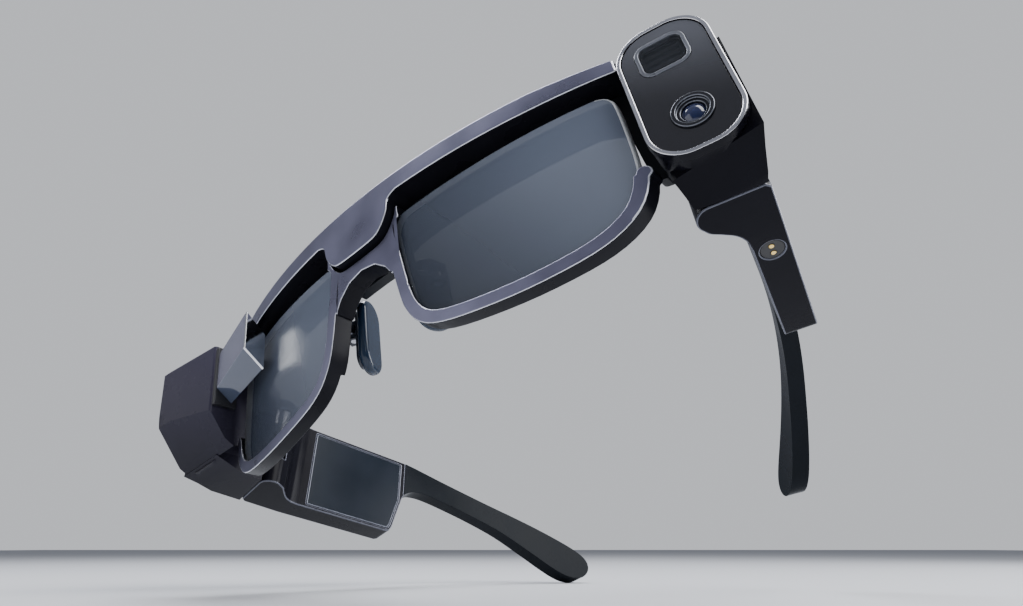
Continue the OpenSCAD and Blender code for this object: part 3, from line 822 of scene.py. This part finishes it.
@dataclass
class LensCarrier:
    """The hung metal rim, its magnets and the two plano lenses."""

    shop: Workshop
    datums: Datums
    edge: float = 0.32
    lens_edge: float = 0.5

    def build(self) -> None:
        """Make and dress the rim, the magnets and the lenses."""
        rim = self.shop.eased("lens_carrier", FRAME_METAL, self.edge, held_back=False)
        # Painted shade on the rim's sides, painted highlight on its front edges.
        self.shop.sort_faces(rim, self.datums.forward(), FRAME_PAINTED_SHADE, FRAME_PAINTED_HIGHLIGHT)
        self.shop.eased("carrier_magnets", MAGNET, 0.12, segments=2)
        for side in ("left", "right"):
            node = f"lens_{side}"
            low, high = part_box(node)
            # Painted reflection: dark at the lower corner on one side to light at the upper front
            # corner on the other, and more see-through where it is light.
            painted_fade = PaintedLightFade(
                low=Vector((low.x, high.y, low.z)),
                high=Vector((high.x, low.y, high.z)),
                dark=(0.01, 0.015, 0.026),
                light=(0.17, 0.2, 0.27),
                clear_low=0.88,
                clear_high=0.72,
            )
            glass = Finish(f"lens_tint_{side}", (0.5, 0.5, 0.5), 0.24, Grain.GLASS, ior=1.35,
                           patch=0.03, painted_fade=painted_fade)
            lens = self.shop.eased(node, glass, self.lens_edge, segments=2, held_back=False)
            # Painted highlight on the lens's rim and eased edges, front and back.
            self.shop.sort_faces(lens, self.datums.forward(), LENS_EDGE_PAINTED_HIGHLIGHT, LENS_EDGE_PAINTED_HIGHLIGHT, True)


@dataclass
class NosePads:
    """Two rocking silicone pads with their arms and holders."""

    shop: Workshop
    dome: float = 1.15

    def build(self) -> None:
        """Make and dress the arms, the holders and the domed pads."""
        for side in ("left", "right"):
            self.shop.eased(f"pad_arm_{side}", PAD_METAL, 0.15, segments=2)
            self.shop.eased(f"pad_box_{side}", PAD_HOLDER, 0.2, segments=2)
            self.shop.eased(f"nose_pad_{side}", PAD, self.dome, segments=6)


@dataclass
class CameraModule:
    """The camera end block: housing, bezel, cover, two lens sets and the board."""

    shop: Workshop
    datums: Datums
    face_x: float = 69.0
    face_y: float = 7.9
    face_z: float = 0.5
    yaw: float = 13.0
    # Share of the cover's diagonal before its painted reflection starts.
    painted_reflection_from: float = 0.35
    board_at: tuple[float, float, float] = (8.4, 7.75, 15.5)
    board_size: tuple[float, float] = (7.6, 15.0)
    chip_size: tuple[float, float, float] = (2.2, 1.9, 0.7)

    def build(self) -> None:
        """Make and dress the module from the housing inwards."""
        self.shop.eased("camera_housing", BODY, 0.45)
        bezel = self.shop.eased("camera_bezel", BEZEL, 0.2, segments=3)
        # Painted shade: the bezel's sides and back take the housing's black, so only its front and
        # edges read as silver.
        self.shop.sort_faces(bezel, self.place().to_3x3() @ FRONTWARD, BODY, BEZEL)
        # Painted reflection: the cover runs from black to a lighter grey towards its upper front
        # corner.
        low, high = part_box("camera_cover")
        painted_fade = PaintedLightFade(
            low=Vector((low.x, high.y, low.z)).lerp(Vector((high.x, low.y, high.z)),
                                                    self.painted_reflection_from),
            high=Vector((high.x, low.y, high.z)),
            dark=(0.006, 0.006, 0.009),
            light=(0.1, 0.105, 0.125),
        )
        painted_cover_reflection = Finish("cover_black_painted_reflection", (0.5, 0.5, 0.5), 0.08, Grain.POLISHED, coat=1.0,
                       coat_roughness=0.03, patch=0.03, painted_fade=painted_fade)
        self.shop.eased("camera_cover", painted_cover_reflection, 0.15, segments=2)
        self.shop.eased("tele_ring", RING_GREY, 0.18, segments=3)
        self.shop.eased("tele_window", WINDOW, 0.12, segments=2)
        self.shop.eased("tele_barrel", BARREL, 0.1, segments=2)
        self.shop.eased("wide_ring", RING_DARK, 0.16, RING_GREY, segments=3)
        self.shop.eased("wide_lens", FRONT_ELEMENT, 0.05, segments=2, angle=50.0)
        self.shop.eased("wide_barrel", BARREL, 0.1, segments=2)
        self.shop.eased("camera_board", BOARD, 0.08, segments=1)
        self._chips()

    def place(self) -> Matrix:
        """Return the module's own frame, at the lower inner corner of its face."""
        return (
            self.datums.front()
            @ Matrix.Translation(Vector((self.face_x, self.face_y, self.face_z)) * MM)
            @ Matrix.Rotation(math.radians(self.yaw), 4, "Z")
        )

    def _chips(self) -> None:
        """Populate the back of the camera board."""
        place = (
            self.place()
            @ Matrix.Translation(Vector(self.board_at) * MM)
            @ Matrix.Rotation(-math.pi / 2, 4, "X")
        )
        chips = chip_layout().run(
            "camera_board_chips", bpy.data.meshes.new("chips"),
            {"Width": self.board_size[0] * MM, "Length": self.board_size[1] * MM,
             "Columns": 3, "Rows": 6, "Chip": Vector(self.chip_size) * MM,
             "Seed": 11, "Finish": CHIP.build()},
            place)
        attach(chips, self.shop.body["camera_board"])
        LOG.info("%s rides with the camera board", chips.name)


@dataclass
class DisplayPod:
    """The display end block: housing, collar, prism, mirror cap, panel and optics."""

    shop: Workshop
    prism_front: tuple[float, float, float] = (0.0, -0.5, -0.87)

    def build(self) -> None:
        """Make and dress the pod and the prism."""
        # Painted sheen: the housing runs from black to a lavender grey towards its upper front
        # corner.
        low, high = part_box("display_housing")
        painted_fade = PaintedLightFade(
            low=Vector((low.x, high.y, low.z)),
            high=Vector((high.x, low.y, high.z)),
            dark=(0.008, 0.008, 0.012),
            light=(0.05, 0.046, 0.075),
        )
        pod_painted_sheen = Finish("pod_satin_painted_sheen", (0.5, 0.5, 0.5), 0.26, Grain.MOULDED, ior=1.2,
                      painted_fade=painted_fade)
        self.shop.eased("display_housing", pod_painted_sheen, 0.6)
        self.shop.eased("display_collar", COLLAR, 0.2, segments=2)
        prism = self.shop.eased("display_prism", PRISM, 0.22, segments=2)
        # Painted reflection on the facets turned part-way towards prism_front.
        self.shop.sort_faces(prism, Vector(self.prism_front), PRISM, PRISM_PAINTED_REFLECTION)
        self.shop.eased("prism_cap", PRISM_CAP, 0.12, segments=2)
        self.shop.eased("relay_lens", PRISM, 0.1, segments=2)
        self.shop.eased("display_panel", PANEL, 0.08, segments=1)
        self.shop.eased("display_board", BOARD, 0.08, segments=1)


class Side(Enum):
    """Which temple, with its inward lean in degrees and the sign of its side."""

    LEFT = ("left", 13.0, 1.0)
    RIGHT = ("right", 9.0, -1.0)

    def __init__(self, word: str, lean: float, sign: float) -> None:
        """Keep the side's name, its lean and its sign.

        Args:
            word: The prefix of the side's nodes.
            lean: Inward lean of the temple, in degrees.
            sign: 1 on the wearer's left, -1 on the right.
        """
        self.word = word
        self.lean = lean
        self.sign = sign


@dataclass
class Temple:
    """One folding temple: shell, cover, arm, hinge leaf, electronics and key."""

    shop: Workshop
    side: Side
    key_node: str
    switch_node: str
    key_at: float
    key_length: float
    axis_z: float = 17.0
    box_mid: float = 8.1
    key_rim: float = 2.0
    ridge_size: tuple[float, float, float] = (1.3, 0.4, 0.24)
    board_at: tuple[float, float, float] = (7.5, 11.3, 13.4)
    board_size: tuple[float, float] = (8.0, 3.2)
    chip_size: tuple[float, float, float] = (1.7, 1.9, 0.6)
    wire_count: int = 13
    wire_from: float = 36.9
    wire_rise: float = 0.08
    wire_step: float = 0.52
    wire_size: tuple[float, float, float] = (2.3, 0.16, 0.16)

    def place(self) -> Matrix:
        """Return the temple's own frame, on the hinge axis, at the design's floor."""
        pivot = self.shop.pivot(f"{self.side.word}_fold")
        return (
            Matrix.Translation(pivot - Vector((0.0, 0.0, self.axis_z)) * MM)
            @ Matrix.Rotation(math.radians(self.side.lean * self.side.sign), 4, "Z")
        )

    def build(self) -> None:
        """Make and dress the temple from the shell inwards."""
        word = self.side.word
        # Painted highlight on the eased edges of the shell and of the cover.
        self.shop.eased(f"{word}_shell", BODY, 0.32, SHELL_PAINTED_HIGHLIGHT, held_back=False)
        self.shop.eased(f"{word}_cover", COVER, 0.25, SEAM_PAINTED_HIGHLIGHT, segments=2, held_back=False)
        self.shop.eased(f"{word}_arm", ARM, 1.3, segments=4)
        self.shop.eased(f"{word}_leaf", HINGE, 0.15, segments=2)
        self.shop.eased(f"{word}_battery", CELL, 0.8, segments=4)
        self.shop.eased(f"{word}_board", BOARD, 0.08, segments=1)
        self.shop.eased(f"{word}_speaker", SPEAKER, 0.5, segments=3)
        self.shop.eased(f"{word}_grille", GRILLE, 0.08, segments=2)
        self.shop.eased(f"hinge_bracket_{word}", HINGE, 0.15, segments=2)
        self.shop.eased(f"hinge_pin_{word}", PIN, 0.12, segments=2)
        self.shop.eased(self.switch_node, SWITCH, 0.12, segments=2)
        self.shop.eased(self.key_node, BUTTON, 0.3, segments=3)
        self._key_ridges()
        self._board_chips()
        self._speaker_mesh()

    def _key_ridges(self) -> None:
        """Lay the grip ridges across the key's top."""
        count = int(self.key_length - self.key_rim)
        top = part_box(self.key_node)[1].z - self.place().translation.z
        ridges = bar_layout().run(
            f"{self.key_node}_ridges", bpy.data.meshes.new("ridges"),
            {"Count": count,
             "Start": (self.side.sign * self.box_mid * MM,
                       (self.key_at - (count - 1) / 2) * MM, top),
             "Step": (0.0, MM, 0.0),
             "Size": Vector(self.ridge_size) * MM,
             "Finish": BUTTON.build()},
            self.place())
        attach(ridges, self.shop.body[self.key_node])
        LOG.info("%s ride with the key", ridges.name)

    def _board_chips(self) -> None:
        """Populate the temple's board."""
        node = f"{self.side.word}_board"
        across, along, up = self.board_at
        place = (
            self.place()
            @ Matrix.Translation(Vector((self.side.sign * across, along, up)) * MM)
            @ Matrix.Rotation(math.pi / 2, 4, "Y")
        )
        chips = chip_layout().run(
            f"{node}_chips", bpy.data.meshes.new("chips"),
            {"Width": self.board_size[0] * MM, "Length": self.board_size[1] * MM,
             "Columns": 5, "Rows": 2, "Chip": Vector(self.chip_size) * MM,
             "Seed": 5, "Finish": CHIP.build()},
            place)
        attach(chips, self.shop.body[node])
        LOG.info("%s ride with the board", chips.name)

    def _speaker_mesh(self) -> None:
        """Lay the fine wires behind the speaker's slots."""
        node = f"{self.side.word}_grille"
        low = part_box(node)[0].z - self.place().translation.z
        wires = bar_layout().run(
            f"{node}_wires", bpy.data.meshes.new("wires"),
            {"Count": self.wire_count,
             "Start": (self.side.sign * self.box_mid * MM, self.wire_from * MM,
                       low + self.wire_rise * MM),
             "Step": (0.0, self.wire_step * MM, 0.0),
             "Size": Vector(self.wire_size) * MM,
             "Finish": SCREW.build()},
            self.place())
        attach(wires, self.shop.body[node])
        LOG.info("%s ride with the grille", wires.name)


@dataclass
class TempleExtras:
    """What only one temple has: the charging contacts on the left, the touch strip on the right."""

    shop: Workshop

    def build(self) -> None:
        """Make and dress the charging insert, its pins and the touch strip."""
        self.shop.eased("charging_insert", INSERT, 0.15, segments=2)
        self.shop.eased("charging_pins", CONTACT, 0.15, segments=3)
        self.shop.eased("touch_strip", TOUCH, 0.12, segments=2)


# ---------------------------------------------------------------- studio

FLOOR_COLOUR: Colour = (0.5, 0.51, 0.53)
FLOOR_ROUGHNESS = 0.6
# What reflections see of the surround, from below to overhead.
SURROUND_LOW: Colour = (0.03, 0.032, 0.036)
SURROUND_HIGH: Colour = (0.42, 0.44, 0.5)
SURROUND_SPAN = (0.1, 0.95)
SURROUND_STRENGTH = 0.8
# What the camera sees of the surround.
BACKDROP: Colour = (0.74, 0.76, 0.8)
BACKDROP_STRENGTH = 0.85


@dataclass
class Lamp:
    """One soft panel light, placed along the camera's own axes from the object."""

    name: str
    right: float
    up: float
    ahead: float
    power: float
    size: float
    colour: Colour = (1.0, 1.0, 1.0)


@dataclass
class Studio:
    """The camera, the pale floor, the pale surround and the soft lights."""

    spot: tuple[float, float, float] = (0.09476, -0.13300, -0.09094)
    turn: tuple[float, float, float] = (133.1686, 2.7921, 41.1873)
    focal: float = 24.93
    subject: float = 0.17
    floor_tilt: float = 18.9
    floor_drop: float = 0.01232
    floor_half: float = 1.4
    floor_shift: float = 0.6
    near_clip: float = 0.005
    lamps: list[Lamp] = field(default_factory=lambda: [
        Lamp("key", 0.25, 0.42, -0.05, 4.0, 0.45),
        Lamp("rim", -0.2, 0.4, 0.35, 5.0, 0.35, (0.93, 0.95, 1.0)),
        Lamp("side", 0.5, 0.1, 0.15, 2.5, 0.3, (0.95, 0.96, 1.0)),
        Lamp("fill", -0.45, 0.05, -0.15, 0.8, 0.5),
    ])

    def build(self) -> None:
        """Set up the camera, the floor, the surround and the lights."""
        axes = self._camera()
        self._floor(axes)
        self._surround(axes)
        for lamp in self.lamps:
            self._light(lamp, axes)

    def _camera(self) -> Matrix:
        """Place the camera.

        Returns:
            The camera's matrix.
        """
        lens = bpy.data.cameras.new("view")
        lens.lens = self.focal
        lens.clip_start = self.near_clip
        camera = bpy.data.objects.new("view", lens)
        camera.location = self.spot
        camera.rotation_euler = [math.radians(a) for a in self.turn]
        bpy.context.scene.collection.objects.link(camera)
        bpy.context.scene.camera = camera
        bpy.context.view_layer.update()
        LOG.info("camera placed")
        return camera.matrix_world.copy()

    def _floor(self, axes: Matrix) -> None:
        """Lay the pale floor that an arm tip rests on.

        Args:
            axes: The camera's matrix.
        """
        tilt = math.radians(self.floor_tilt)
        up = axes.col[1].to_3d()
        ahead = -axes.col[2].to_3d()
        normal = (up * math.cos(tilt) + ahead * math.sin(tilt)).normalized()
        across = axes.col[0].to_3d()
        along = normal.cross(across)
        centre = axes.translation - normal * self.floor_drop + (
            along * self.floor_half * self.floor_shift)
        corners = [centre + across * a * self.floor_half + along * b * self.floor_half
                   for a, b in ((-1, -1), (1, -1), (1, 1), (-1, 1))]
        mesh = bpy.data.meshes.new("floor")
        mesh.from_pydata(corners, [], [(0, 1, 2, 3)])
        floor = bpy.data.objects.new("floor", mesh)
        bpy.context.scene.collection.objects.link(floor)
        mesh.materials.append(self._floor_material())
        LOG.info("floor laid")

    @staticmethod
    def _floor_material() -> bpy.types.Material:
        """Make the floor's matte pale finish, seen from its upper side only.

        Returns:
            The material.
        """
        material = bpy.data.materials.new("floor_pale")
        material.use_nodes = True
        tree = material.node_tree
        shader = tree.nodes["Principled BSDF"]
        shader.inputs["Base Color"].default_value = (*FLOOR_COLOUR, 1.0)
        shader.inputs["Roughness"].default_value = FLOOR_ROUGHNESS
        clear = tree.nodes.new("ShaderNodeBsdfTransparent")
        either = tree.nodes.new("ShaderNodeMixShader")
        side = tree.nodes.new("ShaderNodeNewGeometry")
        tree.links.new(side.outputs["Backfacing"], either.inputs["Fac"])
        tree.links.new(shader.outputs[0], either.inputs[1])
        tree.links.new(clear.outputs[0], either.inputs[2])
        tree.links.new(either.outputs[0], tree.nodes["Material Output"].inputs["Surface"])
        return material

    @staticmethod
    def _surround(axes: Matrix) -> None:
        """Make the pale surround, lighter overhead than below.

        Args:
            axes: The camera's matrix.
        """
        world = bpy.data.worlds.new("surround")
        bpy.context.scene.world = world
        world.use_nodes = True
        tree = world.node_tree
        back = tree.nodes["Background"]
        back.inputs["Strength"].default_value = SURROUND_STRENGTH
        place = tree.nodes.new("ShaderNodeTexCoord")
        dot = tree.nodes.new("ShaderNodeVectorMath")
        dot.operation = "DOT_PRODUCT"
        dot.inputs[1].default_value = (axes.col[1].to_3d() - axes.col[2].to_3d()).normalized()
        span = tree.nodes.new("ShaderNodeMapRange")
        span.inputs["From Min"].default_value = -1.0
        span.inputs["From Max"].default_value = 1.0
        ramp = tree.nodes.new("ShaderNodeValToRGB")
        ramp.color_ramp.elements[0].position = SURROUND_SPAN[0]
        ramp.color_ramp.elements[0].color = (*SURROUND_LOW, 1.0)
        ramp.color_ramp.elements[1].position = SURROUND_SPAN[1]
        ramp.color_ramp.elements[1].color = (*SURROUND_HIGH, 1.0)
        plain = tree.nodes.new("ShaderNodeBackground")
        plain.inputs["Color"].default_value = (*BACKDROP, 1.0)
        plain.inputs["Strength"].default_value = BACKDROP_STRENGTH
        path = tree.nodes.new("ShaderNodeLightPath")
        either = tree.nodes.new("ShaderNodeMixShader")
        tree.links.new(place.outputs["Generated"], dot.inputs[0])
        tree.links.new(dot.outputs["Value"], span.inputs["Value"])
        tree.links.new(span.outputs["Result"], ramp.inputs["Fac"])
        tree.links.new(ramp.outputs["Color"], back.inputs["Color"])
        tree.links.new(path.outputs["Is Camera Ray"], either.inputs["Fac"])
        tree.links.new(back.outputs[0], either.inputs[1])
        tree.links.new(plain.outputs[0], either.inputs[2])
        tree.links.new(either.outputs[0], tree.nodes["World Output"].inputs["Surface"])
        LOG.info("surround lit")

    def _light(self, lamp: Lamp, axes: Matrix) -> None:
        """Hang one panel light and aim it at the object.

        Args:
            lamp: The light's place, power and size.
            axes: The camera's matrix.
        """
        aim = axes.translation - axes.col[2].to_3d() * self.subject
        spot = (aim + axes.col[0].to_3d() * lamp.right + axes.col[1].to_3d() * lamp.up
                - axes.col[2].to_3d() * lamp.ahead)
        data = bpy.data.lights.new(lamp.name, "AREA")
        data.energy = lamp.power
        data.size = lamp.size
        data.color = lamp.colour
        light = bpy.data.objects.new(lamp.name, data)
        light.location = spot
        light.rotation_euler = (aim - spot).to_track_quat("-Z", "Y").to_euler()
        bpy.context.scene.collection.objects.link(light)
        LOG.info("light %s hung", lamp.name)


# ---------------------------------------------------------------- main


def main() -> None:
    """Build the glasses in order, then the studio."""
    logging.basicConfig(level=logging.INFO, format="%(name)s: %(message)s")
    shop = Workshop(frame)
    datums = Datums(shop)
    assemblies = (
        BrowBar(shop, datums),
        LensCarrier(shop, datums),
        NosePads(shop),
        CameraModule(shop, datums),
        DisplayPod(shop),
        Temple(shop, Side.LEFT, "shutter_button", "shutter_switch", 25.0, 9.0),
        Temple(shop, Side.RIGHT, "power_button", "power_switch", 23.0, 6.0),
        TempleExtras(shop),
        Studio(),
    )
    for assembly in assemblies:
        LOG.info("building %s", type(assembly).__name__)
        assembly.build()


if __name__ == "__main__":
    main()
